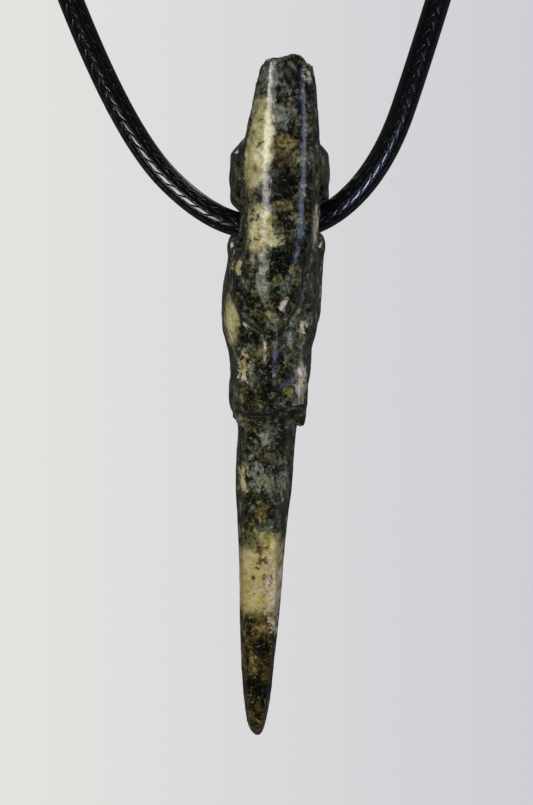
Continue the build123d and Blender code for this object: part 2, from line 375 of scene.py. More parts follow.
def follow(table, places):
    """A table's columns at many places along its first column, on cubic curves that never
    overshoot: each slope is the harmonic mean of the slopes beside it, or zero at a turn."""
    rows = np.array(table, float)
    rows = rows[rows[:, 0].argsort()]
    at, values = rows[:, 0], rows[:, 1:]
    gap = np.diff(at)[:, None]
    rise = np.diff(values, axis=0) / gap
    before, after = rise[:-1], rise[1:]
    agree = before * after > 0
    slope = np.zeros_like(values)
    slope[1:-1] = np.where(agree, 2 * before * after / np.where(agree, before + after, 1), 0)
    slope[0], slope[-1] = rise[0], rise[-1]
    span = np.clip(np.searchsorted(at, places) - 1, 0, len(at) - 2)
    width = gap[span]
    t = (np.asarray(places)[:, None] - at[span][:, None]) / width
    start = (1 + 2 * t) * (1 - t) ** 2 * values[span] + t * (1 - t) ** 2 * width * slope[span]
    end = t**2 * (3 - 2 * t) * values[span + 1] + t**2 * (t - 1) * width * slope[span + 1]
    return start + end


def corner_rows(corners):
    """One row of corners for each height or depth, from each corner's three columns."""
    return np.stack([np.stack(corner, axis=1) for corner in corners], axis=1)


def rounded(corners, shares, fineness):
    """Closed quadratic B-splines round rows of corners. Their control points are each corner
    and a point its own share of the way along each side from it: small shares are crisp."""
    shares = np.asarray(shares)[None, :, None]
    before = corners + (np.roll(corners, 1, axis=1) - corners) * shares
    after = corners + (np.roll(corners, -1, axis=1) - corners) * shares
    control = np.stack([before, corners, after], axis=2).reshape(len(corners), -1, 3)
    t = (np.arange(fineness) / fineness)[None, None, :, None]
    last, following = np.roll(control, 1, axis=1), np.roll(control, -1, axis=1)
    curve = (
        (1 - t) ** 2 / 2 * last[:, :, None]
        + (0.5 + t - t * t) * control[:, :, None]
        + t * t / 2 * following[:, :, None]
    )
    return curve.reshape(len(corners), -1, 3)


def middle_line(heights):
    """Where the figure's own middle plane lies at each height, as it leans."""
    return LEAN_SHIFT + heights * math.tan(math.radians(LEAN_DEG))


# Folded wings: z, left and right walls, the band's two edges, the two shoulders between them,
# then the depths of the band, the shoulders, the walls' widest line and the front.
WINGS = [
    (21, -1.2, 3.6, -0.9, 2.6, -1.1, 3.3, -6.5, -6, -4.1, -3.2),
    (19.3, -1.85, 3.9, -1.2, 2.8, -1.65, 3.5, -7.1, -6.4, -3.8, -2),
    (17.1, -2.45, 4.2, -1.3, 2.9, -2.1, 3.8, -7.8, -7, -3.3, -0.5),
    (14.2, -3.05, 4.45, -1.35, 3, -2.65, 4, -8.45, -7.6, -2.8, 0.6),
    (10.6, -3.9, 4.7, -1.4, 3, -3.3, 4.15, -9.05, -8.15, -2, 1.5),
    (6.5, -4.5, 4.9, -1.5, 2.85, -3.6, 4.2, -9.5, -8.55, -1.5, 1.8),
    (1.7, -4.75, 4.85, -1.6, 2.6, -3.75, 4.15, -9.75, -8.7, -1.3, 1.9),
    (-1.4, -4.9, 4.75, -1.75, 2.35, -3.75, 3.95, -9.8, -8.8, -1.8, 1.6),
    (-3.1, -5.55, 4.5, -1.85, 2.1, -3.85, 3.6, -9.8, -8.8, -4.4, 1.2),
    (-4.5, -5.9, 4.15, -1.85, 1.9, -3.95, 3.2, -9.8, -8.8, -5.9, 0.8),
    (-6.7, -6, 3.75, -1.8, 1.2, -3.95, 2.7, -9.75, -8.7, -6.5, -0.2),
    (-8.3, -5.95, 3.6, -1.75, 0.6, -3.85, 2.25, -9.65, -8.6, -6.7, -1.5),
    (-10.1, -5.55, 3.05, -1.7, 0.1, -3.6, 1.7, -9.55, -8.5, -6.9, -2.4),
    (-11.4, -4.8, 2.25, -1.65, -0.1, -3.2, 1.1, -9.45, -8.5, -7.1, -4),
    (-12.6, -3.65, 1.05, -1.6, -0.25, -2.6, 0.4, -9.35, -8.6, -7.6, -5.5),
    (-13.8, -2.25, -0.3, -1.5, -0.6, -1.8, -0.5, -9.2, -8.9, -8.4, -7.3),
]

# Body, corbel and spike: z, left and right flanks, the ridge's two edges and depth, then the
# back's share of the half width and its depth, the flank's depth, and the front's the same.
BODY = [
    (3.4, -4.2, 4.2, -0.6, 0.6, -6.4, 0.64, -5.8, -0.8, 0.64, 3.2),
    (-0.2, -4.4, 4.6, -0.6, 0.6, -7.1, 0.66, -6, 1.5, 0.66, 4.6),
    (-1.6, -6, 5.4, -0.7, 0.5, -7.4, 0.76, -4.6, 2.6, 0.58, 5.5),
    (-4.3, -6.3, 5.15, -0.9, 0.3, -7.8, 0.84, -4.9, 1.6, 0.6, 6),
    (-6.7, -6.75, 4.95, -1.2, 0, -8.1, 0.86, -5.2, 0.8, 0.6, 6.2),
    (-9.5, -7, 5, -1.5, -0.2, -8.5, 0.88, -5.5, -0.2, 0.56, 6.2),
    (-11.9, -6.95, 4.75, -1.75, -0.4, -8.9, 0.88, -6, -1, 0.5, 7),
    (-13.9, -6.55, 4.35, -1.8, -0.5, -9.1, 0.84, -6.6, -1.2, 0.46, 8),
    (-15.8, -6.1, 3.8, -1.8, -0.6, -9.15, 0.78, -6.9, -1.2, 0.44, 8.4),
    (-17.7, -5.95, 3.55, -1.8, -0.6, -9.1, 0.76, -7, -1.3, 0.44, 8),
    (-19.6, -6.15, 3.6, -1.75, -0.6, -8.95, 0.78, -7.1, -1.4, 0.46, 7.4),
    (-21.4, -6.1, 3.55, -1.7, -0.6, -8.6, 0.8, -7, -1.7, 0.5, 7),
    (-22.2, -5.85, 3.35, -1.65, -0.6, -8.2, 0.8, -6.9, -1.7, 0.54, 6.9),
    (-22.8, -5.4, 2.85, -1.55, -0.7, -7.2, 0.74, -6.2, -1.4, 0.6, 7),
    (-23.6, -5.15, 2.4, -1.3, -0.7, -6.4, 0.66, -5.6, -0.8, 0.66, 7.4),
    (-25, -5.02, 2.12, -1.05, -0.6, -6.05, 0.74, -4.6, -0.4, 0.66, 7.2),
    (-27.5, -5.2, 1.9, -1.05, -0.6, -5.9, 0.74, -4.4, -0.6, 0.6, 5.6),
    (-31.1, -5.3, 1.68, -1.05, -0.6, -5.65, 0.74, -4.1, -0.8, 0.54, 3.7),
    (-35.2, -5.1, 1.15, -0.95, -0.6, -5.35, 0.74, -3.8, -1, 0.52, 2.9),
    (-39.5, -4.92, 0.72, -0.75, -0.4, -4.95, 0.74, -3.45, -1, 0.52, 2.3),
    (-43.7, -4.82, 0.4, -0.65, -0.3, -4.5, 0.74, -3.1, -0.9, 0.52, 1.8),
    (-48.1, -4.77, 0, -0.75, -0.45, -3.9, 0.74, -2.75, -0.6, 0.52, 1.5),
    (-52.5, -4.62, -0.5, -1.25, -0.95, -3.2, 0.72, -2.2, -0.35, 0.52, 1.3),
    (-56.1, -4.38, -0.86, -1.7, -1.4, -2.5, 0.7, -1.7, -0.15, 0.52, 1.2),
    (-58.5, -4.12, -1.24, -2, -1.75, -1.7, 0.6, -1.3, 0.1, 0.52, 1.1),
    (-60.2, -3.75, -1.65, -2.35, -2.15, -0.9, 0.6, -0.65, 0.3, 0.52, 1),
    (-61, -3.25, -2, -2.6, -2.45, -0.25, 0.6, -0.1, 0.45, 0.55, 0.9),
    (-61.3, -2.85, -2.3, -2.62, -2.5, 0.25, 0.6, 0.3, 0.5, 0.6, 0.75),
]

# Head, from the nape to the end of the muzzle: y, half width at the cheek and at the temple,
# then the heights of the crown, the temple, the cheek and the jaw.
HEAD = [
    (-1.6, 5.3, 5.1, 9.3, 8.4, 3.6, 2.7), (0.1, 5.8, 5.8, 9.9, 8.5, 3.1, 1.6),
    (3.2, 6, 6, 10.9, 8.6, 2.8, 0.6), (5.9, 5.4, 5.5, 10.6, 8.5, 2.4, -0.2),
    (7.4, 4.3, 4.7, 9.3, 7.7, 1.9, -0.5), (8.4, 3.2, 3.4, 7.2, 6, 1.6, -0.6),
    (10.4, 2.7, 2.8, 5.9, 4.9, 1.4, -0.5), (12.1, 2.4, 2.5, 5.1, 4.2, 1.2, -0.2),
    (12.7, 1.5, 1.6, 4.3, 3.7, 1.7, 0.5),
]
JAW_SHARE = 0.62
CROWN_SHARE = 0.66
WING_FRONT_SHARE = 0.86
WING_SECTIONS = 260
BODY_SECTIONS = 420
HEAD_SECTIONS = 120

# Limbs, horn, ear and brow, one side of the figure: x from its middle plane, y, z, then the
# half width across the figure and the half thickness, from one end of the piece to the other.
LIMBS = {
    "arm": [(3.6, 3.5, -0.9, 1.2, 1.5), (4.1, 3.6, -3.3, 1.7, 2.2), (4.3, 3.5, -7.2, 1.5, 1.8),
        (4.4, 3.9, -10.2, 1.4, 1.6), (4, 6, -12, 1.35, 1.5), (3.6, 8.2, -13.3, 1.1, 1.2),
        (3.3, 9.8, -14.3, 1.3, 1.1)],
    "thigh": [(2.4, -6, -19.4, 1.5, 2), (2.8, -4.4, -18.4, 1.9, 3.3), (3, -0.4, -17, 1.9, 3.6),
        (3.1, 4.6, -15.5, 1.8, 2.8), (3.2, 8, -15, 1.6, 2.1), (3.2, 9.2, -15.1, 1.2, 1.5)],
    "shin": [(3.2, 7.9, -15.1, 1.4, 1.7), (3.1, 7.6, -17.8, 1.5, 1.9), (3, 6.5, -20.4, 1.2, 1.4),
        (2.9, 5.8, -22, 1.3, 1.5)],
    "foot": [(2.8, 2.9, -22.5, 1, 0.8), (2.9, 4, -22.3, 1.25, 1.3), (3, 6.4, -22.1, 1.45, 1.5),
        (3, 8.6, -22.6, 1.4, 1.1), (3, 9.8, -22.9, 1.45, 0.8)],
    "horn": [(2.1, 4.6, 9, 1.35, 1.45), (2.5, 4.2, 12, 1, 1.05), (2.7, 2.9, 14.5, 0.65, 0.7),
        (2.4, 1, 16.2, 0.2, 0.2)],
    "ear": [(4.9, 5, 4.6, 0.6, 1.1), (5.35, 2.6, 5.9, 0.8, 2.3), (4.5, -0.6, 8.2, 0.6, 1.9),
        (3.3, -3.6, 11.8, 0.2, 0.3)],
    "brow": [(0.4, 8.2, 6.7, 0.6, 0.6), (1.9, 8.5, 7.9, 0.8, 0.8), (3.6, 7.6, 8.8, 0.8, 0.8),
        (5, 5.6, 8.3, 0.4, 0.5)],
}
# Heels that grip the corbel under the haunches: x from the hole, y, z and the two half widths
HEELS = [
    [(2.7, -3.6, -20.4, 0.75, 1), (2.62, -4.1, -22.2, 0.74, 1.3), (2.55, -3.9, -23.7, 0.6, 0.8)],
    [(-4.9, -3.6, -20.6, 0.75, 1), (-4.75, -3.9, -22.2, 0.74, 1.1), (-4.4, -3.7, -24, 0.5, 0.8),
     (-4.2, -3.4, -25.2, 0.3, 0.5)],
]
LIMB_STEPS = 40
LIMB_SIDES = 28
CAP_STEPS = 6

# Claws, fingers and a fang, one side: the two ends and the half width at each
CLAWS = [
    ((3.5, 9, -22.8), (3.75, 11.5, -23.6), 0.6, 0.3),
    ((3.1, 9.4, -22.8), (3.3, 12.1, -23.6), 0.66, 0.3),
    ((2.3, 9.2, -22.8), (2.2, 11.7, -23.6), 0.6, 0.3),
    ((2.6, 9.2, -13.8), (2.3, 10.7, -16.2), 0.45, 0.3),
    ((3.3, 9.5, -13.8), (3.2, 11.1, -16.5), 0.48, 0.3),
    ((4, 9.2, -13.8), (4.2, 10.7, -16.3), 0.45, 0.3),
    ((1.2, 12.3, 2.6), (1.25, 12.6, 0.9), 0.36, 0.14),
]
CLAW_STEPS = 16
CLAW_ARCH = 0.35
BALL_ROWS = 24
BALL_SIDES = 32

# Finger bones of the folded wings: on each side wall, heights and shares of the way from the
# shoulder's line to the widest line at the bone's two ends, and the half widths there
WING_BONES = [
    (18.6, 0.2, -11.6, 0.75, 0.46, 0.2), (17.6, 0.45, -5, 0.95, 0.4, 0.24),
    (16.8, 0.75, 2, 1, 0.38, 0.28),
]
BONE_STEPS = 60


def wing_corners(z):
    """The eight corners of the folded wings' section at each height, from the band's left
    edge by way of the right wall, the front and the left wall to the left shoulder."""
    columns = follow(WINGS, z).T
    left, right, band_left, band_right, shoulder_left, shoulder_right = columns[:6]
    back, shoulder_y, side, front = columns[6:]
    middle = (left + right) / 2
    corners = [
        (band_left, back), (band_right, back), (shoulder_right, shoulder_y), (right, side),
        (middle + (right - middle) * WING_FRONT_SHARE, front),
        (middle + (left - middle) * WING_FRONT_SHARE, front),
        (left, side), (shoulder_left, shoulder_y),
    ]
    return corner_rows([(x, y, z) for x, y in corners])


def wing_grid():
    """Sections of the folded wings, one at each height, rounded at their corners."""
    corners = wing_corners(np.linspace(WINGS[0][0], WINGS[-1][0], WING_SECTIONS))
    return rounded(corners, (0.5, 0.46, 0.34, 0.08, 0.3, 0.3, 0.08, 0.34), 5)


def body_grid():
    """Sections of the body, corbel and spike, one at each height, rounded at eight corners."""
    z = np.linspace(BODY[0][0], BODY[-1][0], BODY_SECTIONS)
    columns = follow(BODY, z).T
    left, right, ridge_left, ridge_right, ridge, back, back_y, flank, front, front_y = columns
    middle, half = (left + right) / 2, (right - left) / 2
    corners = [
        (ridge_left, ridge), (ridge_right, ridge), (middle + half * back, back_y), (right, flank),
        (middle + half * front, front_y), (middle - half * front, front_y), (left, flank),
        (middle - half * back, back_y),
    ]
    points = corner_rows([(x, y, z) for x, y in corners])
    return rounded(points, (0.36, 0.36, 0.46, 0.2, 0.36, 0.36, 0.2, 0.46), 5)


def head_grid():
    """Sections of the head, one at each depth from nape to muzzle, rounded at eight corners."""
    y = np.linspace(HEAD[0][0], HEAD[-1][0], HEAD_SECTIONS)
    wide, wide_above, crown, temple, cheek, jaw = follow(HEAD, y).T
    right = [(JAW_SHARE * wide, jaw), (wide, cheek), (wide_above, temple),
             (CROWN_SHARE * wide_above, crown)]
    left = [(-x, z) for x, z in right]
    points = corner_rows([(x, y, z) for x, z in (left[0], *right, *left[:0:-1])])
    points[:, :, 0] += middle_line(points[:, :, 2].mean(axis=1))[:, None]
    return rounded(points, (0.3, 0.3, 0.2, 0.14, 0.2, 0.2, 0.14, 0.2), 4)


def tube(centres, wide, thick, across):
    """Oval rings along a line, each set square to it, with the ends rounded off by rings that
    shrink as a cosine while they go on by a sine."""
    place = np.arange(-CAP_STEPS, len(centres) + CAP_STEPS)
    row = np.clip(place, 0, len(centres) - 1)
    cap = (place - row) * math.pi / 2 / CAP_STEPS
    swell = np.cos(cap) + 0.02 * (cap != 0)
    forward = unit(np.gradient(centres, axis=0))[row]
    reach = np.minimum(wide, thick)[row] * np.sin(cap)
    centres = centres[row] + forward * reach[:, None]
    level = unit(across - forward * (forward @ across)[:, None])
    up = np.cross(forward, level)
    angle = turns(LIMB_SIDES)
    spoke_x = (wide[row] * swell)[:, None, None] * np.cos(angle)[None, :, None] * level[:, None]
    spoke_y = (thick[row] * swell)[:, None, None] * np.sin(angle)[None, :, None] * up[:, None]
    return centres[:, None] + spoke_x + spoke_y


def beside(points, side):
    """Points of one side of the figure, put on the left or right of its leaning middle."""
    points[..., 0] = points[..., 0] * side + middle_line(points[..., 2])
    return points


def limb_grid(chain):
    """Oval rings carried along a smooth line through a chain's points."""
    rows = np.array([(place, *row) for place, row in enumerate(chain)], float)
    values = follow(rows, np.linspace(0, len(chain) - 1, LIMB_STEPS))
    return tube(values[:, :3], values[:, 3], values[:, 4], (1, 0, 0))


def claw_grid(start, end, thick, thin, side):
    """A bent taper: a straight line between its ends, raised at its middle by a sine."""
    centres = np.linspace(start, end, CLAW_STEPS)
    centres[:, 2] += CLAW_ARCH * np.sin(np.linspace(0, math.pi, CLAW_STEPS))
    wide = np.linspace(thick, thin, CLAW_STEPS)
    return beside(tube(centres, wide, wide, (1, 0, 0)), side)


def bone_grid(high, high_share, low, low_share, thick, thin, side):
    """A thin taper that follows the wing's side wall, half sunk in it."""
    corners = wing_corners(np.linspace(high, low, BONE_STEPS))
    shoulder, wall = (2, 3) if side > 0 else (7, 6)
    share = np.linspace(high_share, low_share, BONE_STEPS)[:, None]
    centres = corners[:, shoulder] * (1 - share) + corners[:, wall] * share
    wide = np.linspace(thick, thin, BONE_STEPS)
    return tube(centres, wide, wide, (0, 1, 0))


def ball_grid(x, y, z, wide, deep, high, side):
    """An oval ball: rings of a cosine's radius along a sine's height."""
    lift = np.linspace(-math.pi / 2, math.pi / 2, BALL_ROWS)[:, None]
    angle = turns(BALL_SIDES)
    spread = np.cos(lift) + 0.01
    grid = [x + wide * spread * np.cos(angle), y + deep * spread * np.sin(angle),
            z + high * np.sin(lift) * np.ones_like(angle)]
    return beside(np.stack(grid, axis=2), side)


def gather(grids):
    """One mesh of many closed grids, each with its faces outwards."""
    points, faces, count = [], [], 0
    for grid in grids:
        rows, sides = grid.shape[:2]
        flat = grid.reshape(-1, 3)
        turned = outward(flat, grid_faces(rows, sides))
        faces += [[corner + count for corner in face] for face in turned]
        points.append(flat)
        count += len(flat)
    mesh = bpy.data.meshes.new("gargoyle")
    mesh.from_pydata(np.concatenate(points).tolist(), [], faces)
    return mesh


def apply_modifiers(holder):
    """The mesh that an object's modifiers give, in the place of its old one."""
    view = bpy.context.evaluated_depsgraph_get()
    made = bpy.data.meshes.new_from_object(holder.evaluated_get(view))
    made.materials.clear()
    holder.modifiers.clear()
    holder.data = made
    return made


# Balls of muscle and bone, one side of the figure: x, y, z and three radii
MUSCLES = [
    (4.2, 3.3, -2.6, 1.8, 2.3, 2.2), (2, 4.9, -3.6, 2.3, 1.5, 1.9),
    (3.2, 8.3, -14.9, 1.75, 1.9, 2.1), (2.35, 8.05, 6.2, 1.1, 1.15, 0.95),
]

# The skin's own grain, how far its unevenness goes in, the spike's share of that, and the
# height from which that share comes in and how far down it is whole
VOXEL = 0.215
UNEVEN = 0.09
SPIKE_UNEVEN = 0.4
SPIKE_TOP = -22
SPIKE_EASE = 4

# The cord's hole: its radius in the middle and at its mouths, how deep a mouth narrows, half
# its length, how far its cutter reaches, and how far round it the stone is left even
HOLE_RADIUS = 2.3
MOUTH_RADIUS = 2.8
MOUTH_DEPTH = 2.2
HOLE_HALF = 4.65
CUTTER_HALF = 9
CUTTER_SIDES = 64
MOUTH_EASE = 0.8


def hole_cutter():
    """A turned shape about the hinge's line: the hole's radius, wider at its two mouths."""
    x = np.array([HOLE_HALF - MOUTH_DEPTH, HOLE_HALF, CUTTER_HALF])
    x = np.concatenate([-x[::-1], x])[:, None]
    radius = np.where(abs(x) < HOLE_HALF, HOLE_RADIUS, MOUTH_RADIUS)
    angle = turns(CUTTER_SIDES)
    grid = [x * np.ones(CUTTER_SIDES), radius * np.cos(angle), radius * np.sin(angle)]
    return gather([np.stack(grid, axis=2)])


# Grooves seen from behind: half width, depth, then places along each as x and z
BACK_GROOVES = [
    (0.34, 0.34, [(-5.9, -22), (-4.9, -22.7), (-3.9, -23), (-1.3, -23.05), (-0.2, -22.5),
                  (1.3, -22.1), (2.8, -21.8)]),
    (0.4, 0.3, [(-5, -3.4), (-5.6, -6.2), (-5.6, -8.8), (-4.9, -10.8), (-3.6, -12.3), (-2.4, -13)]),
    (0.36, 0.3, [(3, -4), (2.9, -7.6), (2.4, -9.8), (1.2, -11.8)]),
    (0.24, 0.12, [(1.9, -6.8), (1.5, -9), (0.4, -11.6)]),
    (0.3, 0.12, [(0.5, -13.8), (1.7, -15.8), (2.4, -18.4), (2.2, -20.6)]),
    (0.3, 0.12, [(-3.2, -14.2), (-4.3, -16.2), (-4.9, -18.6)]),
    (0.22, 0.16, [(-0.9, -27.2), (-0.85, -28.9)]),
]

# Hollows: x, y, z and three radii, then their depth
HOLLOWS = [
    (-4.7, -6.2, -23, 0.9, 1.6, 0.6, 0.5), (1.9, -5.8, -22.6, 1.2, 1.6, 0.65, 0.6),
    (2.7, -4.5, -24.5, 0.3, 1.2, 0.35, 0.3),
]

# Grooves of the mouth and the muzzle, one side: half width, depth, then places as x, y and z
FRONT_GROOVES = [
    (0.468, 0.4, [(2.9, 7.6, 1.7), (2.6, 9.4, 1.9), (2.3, 11.2, 2.3), (1.2, 12.7, 2.5),
                  (0, 12.9, 2.5)]),
    (0.39, 0.2, [(2.9, 9, 3.6), (2.3, 10.4, 4.6), (1.2, 11.4, 5.2)]),
]

# Lines seen from the front, one side: half width, depth, then places as x and z. They are the
# eye's lid, the cheek, the frown, the forehead, the breastbone and the ribs.
FACE_LINES = [
    (0.26, 0.32, [(3.6, 6.5), (3.3, 5.6), (2.5, 5.1), (1.6, 5.3), (1.15, 6.1)]),
    (0.24, 0.24, [(4.3, 4.9), (4.1, 3.7), (3.5, 2.4)]),
    (0.22, 0.22, [(0.6, 7.4), (0.75, 8.7)]),
    (0.22, 0.16, [(0.5, 9.7), (1.7, 10.1), (2.9, 9.9)]),
    (0.3, 0.2, [(0, -1.6), (0, -5), (0, -9.6)]),
    (0.3, 0.18, [(0.5, -4.6), (1.6, -4.1), (2.8, -3.1)]),
    (0.3, 0.18, [(0.5, -6.6), (1.6, -6.2), (2.8, -5.4)]),
    (0.3, 0.18, [(0.5, -8.6), (1.6, -8.3), (2.8, -7.7)]),
]

# Nostril and pupil, one side, in the same way as the hollows
DOTS = [(0.95, 12.5, 3.7, 0.5, 0.5, 0.5, 0.4), (2.3, 9.2, 6.1, 0.38, 0.38, 0.38, 0.4)]

# Steps along a line from place to place, how fast a line fades where the stone turns aside,
# and how far forwards the lines of the face and breast start
LINE_STEPS = 16
FACING = 3
FACE_START = 3


def nearness(points, places, half_width, columns):
    """1 on a line through places down to 0 at its half width, as (1 - (d / w)^2)^2, where d is
    the distance counted over the chosen columns."""
    rows = np.array([(place, *row) for place, row in enumerate(places)], float)
    line = follow(rows, np.linspace(0, len(places) - 1, LINE_STEPS * len(places)))
    some = points[:, columns]
    low, high = line.min(axis=0) - half_width, line.max(axis=0) + half_width
    near = np.all((some > low) & (some < high), axis=1)
    away = np.full(len(points), np.inf)
    gaps = some[near][:, None] - line[None]
    away[near] = np.sqrt(np.einsum("ijk,ijk->ij", gaps, gaps).min(axis=1))
    return np.clip(1 - (away / half_width) ** 2, 0, 1) ** 2


def carve(points, normals):
    """How deep each point goes in, in millimetres: the most that any line asks for, by its
    nearness, or any hollow, as one less the square of the distance counted in its radii."""
    upright = points.copy()
    upright[:, 0] = abs(points[:, 0] - middle_line(points[:, 2]))
    behind = np.clip(-normals[:, 1] * FACING, 0, 1)
    before = np.clip(normals[:, 1] * FACING, 0, 1) * (points[:, 1] > FACE_START)
    depth = np.zeros(len(points))
    lines = [(points, BACK_GROOVES, behind, [0, 2]), (upright, FACE_LINES, before, [0, 2]),
             (upright, FRONT_GROOVES, 1, [0, 1, 2])]
    for where, table, share, columns in lines:
        for half_width, deep, places in table:
            near = nearness(where, places, half_width, columns)
            depth = np.maximum(depth, deep * share * near)
    for where, table in ((points, HOLLOWS), (upright, DOTS)):
        for *place, wide, thick, high, deep in table:
            away = (where - place) / (wide, thick, high)
            depth = np.maximum(depth, deep * np.clip(1 - np.sum(away**2, axis=1), 0, 1))
    return depth


def worn(points):
    """Uneven hand work: a sum of slow waves in three directions, about -1 to 1."""
    x, y, z = points.T
    waves = np.sin(2.1 * x + 1.3 * np.sin(0.9 * z) + 0.8 * y)
    waves += np.sin(1.7 * y - 1.1 * np.sin(1.1 * x + 0.4) + 1.9 * z)
    waves += np.sin(2.9 * z + 1.4 * np.sin(1.3 * y + 1.0) - 1.6 * x)
    waves += 0.6 * np.sin(4.7 * x + 3.9 * z + 2.0 * np.sin(1.9 * y))
    return waves / 3.6


# The worn top of the wings, as heights above the hole at places across it
WORN_TOP = [
    (-3, 18), (-1.9, 19), (-1.5, 19.45), (-0.8, 19.6), (0.5, 19.75), (1.4, 20.1), (2.4, 20.05),
    (2.9, 19.6), (3.25, 19.05), (3.6, 18.95), (4.2, 18.4),
]


def wear_top(points):
    """Nothing stands above the worn top's line."""
    across, high = np.array(WORN_TOP).T
    limit = np.interp(points[:, 0], across, high) + 0.08 * np.sin(points[:, 0] * 5 + points[:, 1] * 3)
    points[:, 2] = np.minimum(points[:, 2], limit)
    return points


def add_skin(holder):
    """A modifier that joins closed forms into one skin of even faces a voxel wide."""
    skin = holder.modifiers.new("skin", "REMESH")
    skin.mode = "VOXEL"
    skin.voxel_size = VOXEL


def make_gargoyle():
    """All the closed forms are joined into one skin of even small faces, the hole is cut
    through it, and the fine cuts are made by moving the skin in or out along its normals."""
    grids = [wing_grid(), body_grid(), head_grid()]
    grids += [limb_grid(chain) for chain in HEELS]
    for side in (-1, 1):
        grids += [beside(limb_grid(chain), side) for chain in LIMBS.values()]
        grids += [ball_grid(*muscle, side) for muscle in MUSCLES]
        grids += [claw_grid(*claw, side) for claw in CLAWS]
        grids += [bone_grid(*bone, side) for bone in WING_BONES]
    mesh = gather(grids)
    holder = show("gargoyle_carving", mesh)
    add_skin(holder)
    apply_modifiers(holder)
    cutter = show("hole_cutter", hole_cutter())
    drill = holder.modifiers.new("hole", "BOOLEAN")
    drill.operation = "DIFFERENCE"
    drill.solver = "MANIFOLD"
    drill.object = cutter
    add_skin(holder)
    even = holder.modifiers.new("even", "SMOOTH")
    even.factor = 0.5
    even.iterations = 2
    mesh = apply_modifiers(holder)
    bpy.data.objects.remove(cutter)
    points = vertex_array(mesh.vertices, "co")
    normals = vertex_array(mesh.vertex_normals, "vector")
    carved = carve(points, normals)
    radius = np.hypot(points[:, 1], points[:, 2])
    free = np.clip((radius - MOUTH_RADIUS) / MOUTH_EASE, 0, 1)
    free *= 1 - (1 - SPIKE_UNEVEN) * np.clip((SPIKE_TOP - points[:, 2]) / SPIKE_EASE, 0, 1)
    points -= normals * (carved + UNEVEN * (1 + worn(points)) / 2 * free)[:, None]
    points = wear_top(points) * MM + np.array(HOLE)
    mesh.vertices.foreach_set("co", points.ravel())
    mesh.attributes.new("carved", "FLOAT", "POINT").data.foreach_set("value", carved)
    mesh.update()
    mesh.shade_smooth()
    return holder


# Patches of one colour in the stone, as ovals: x, y, z from the hole, then three radii, and
# how much of the patch is filled. One of the pale grey ovals is a painted highlight rather than
# a patch of the stone. Their edges fade by a share of the radius, and what isn't filled is eaten away by
# noise.
PATCH_EDGE = 0.28
PATCH_HOLES = 5.0
CREAM = [
    (-2.1, -8, 10, 1.5, 3, 4.7, 0.95), (-3.1, -7.4, 7, 1.3, 3, 3.6, 0.9),
    (-2.2, -9, -0.8, 1.6, 3, 2.9, 0.95), (-0.9, -9.5, -2.1, 1.3, 1.5, 0.9, 0.9),
    (-5.6, -4.8, -11.6, 1, 3, 2.9, 1), (-4.9, -6.6, -5.2, 0.65, 2, 0.9, 0.7),
    (-4.2, -6.6, -17, 0.7, 2, 1.7, 0.2), (-2.6, -3, -42.6, 3.6, 9.5, 4, 1),
    (-1.3, -3, -39.4, 1.9, 4.5, 2.7, 0.95), (-4.3, -3, -30.6, 0.55, 2.5, 1.7, 0.6),
    (5.8, 3, 4.6, 0.5, 2.2, 1.6, 0.6), (-3.4, 6, 6.4, 1.6, 2.6, 1.8, 0.9),
    (3.1, 4, -8.4, 1.6, 2.4, 2.6, 0.9), (0.5, 6, -20.4, 1.5, 3, 2.2, 0.9),
    (-3, 4.2, -17.4, 1.3, 2.4, 2, 0.8),
]
PINK = [
    (4.1, -5.6, -0.2, 0.65, 2.6, 2.4, 1), (2.9, -7.8, 5.6, 0.5, 1.2, 0.45, 1),
    (2.4, -5.8, -19, 0.75, 2.4, 2.3, 0.9), (2.8, -6, -12.4, 0.5, 1.8, 0.8, 0.9),
    (0.6, -8, -9.6, 0.5, 2, 0.9, 0.7), (-0.9, -2, -43, 1.2, 3, 4.2, 0.75),
    (-0.7, -2, -47.6, 0.65, 2, 1.5, 0.9), (3.4, -6, 17.4, 0.6, 1.6, 1.2, 0.55),
]
OCHRE = [
    (0.7, -9, 9.5, 1.5, 1.5, 1.2, 0.5), (-2.1, -5, -34.3, 0.8, 2, 1.1, 0.5),
    (-2.5, -3.5, -38.6, 1.2, 2, 0.8, 0.6), (1.8, -7.5, -10.6, 0.35, 1.6, 1.7, 0.6),
    (-1.8, -2.5, -48.2, 1.3, 3, 0.9, 0.4), (0.9, -8, -20.2, 0.6, 1.2, 0.6, 0.8),
    (-5, 3, 6.7, 0.4, 1.8, 0.7, 0.9), (-3, -1.5, -52.2, 0.7, 2, 1.6, 0.6),
    (3.2, 5.4, 6.4, 1.2, 2, 1.2, 0.6),
]
RUST = [
    (-0.8, -2.6, -43.4, 0.25, 2, 1.5, 0.9), (-1.5, -2.4, -47, 0.7, 2, 0.4, 0.7),
    (-1, -2, -52.4, 0.35, 1.6, 1.4, 0.3), (-1.9, -5.6, -28, 0.8, 0.8, 0.35, 0.9),
    (-0.8, -5.6, -28.1, 0.22, 0.8, 0.6, 0.9), (1.5, -9, -3.4, 0.2, 0.5, 0.25, 0.8),
    (-2.6, -2.2, -49.4, 1.3, 1.6, 0.45, 0.8), (-2.2, -1.6, -51.2, 0.9, 1.4, 0.35, 0.7),
    (0.9, -9, 7.2, 0.9, 1, 0.7, 0.45), (-2.6, -1.2, -57.4, 0.5, 1.4, 0.6, 0.35),
]
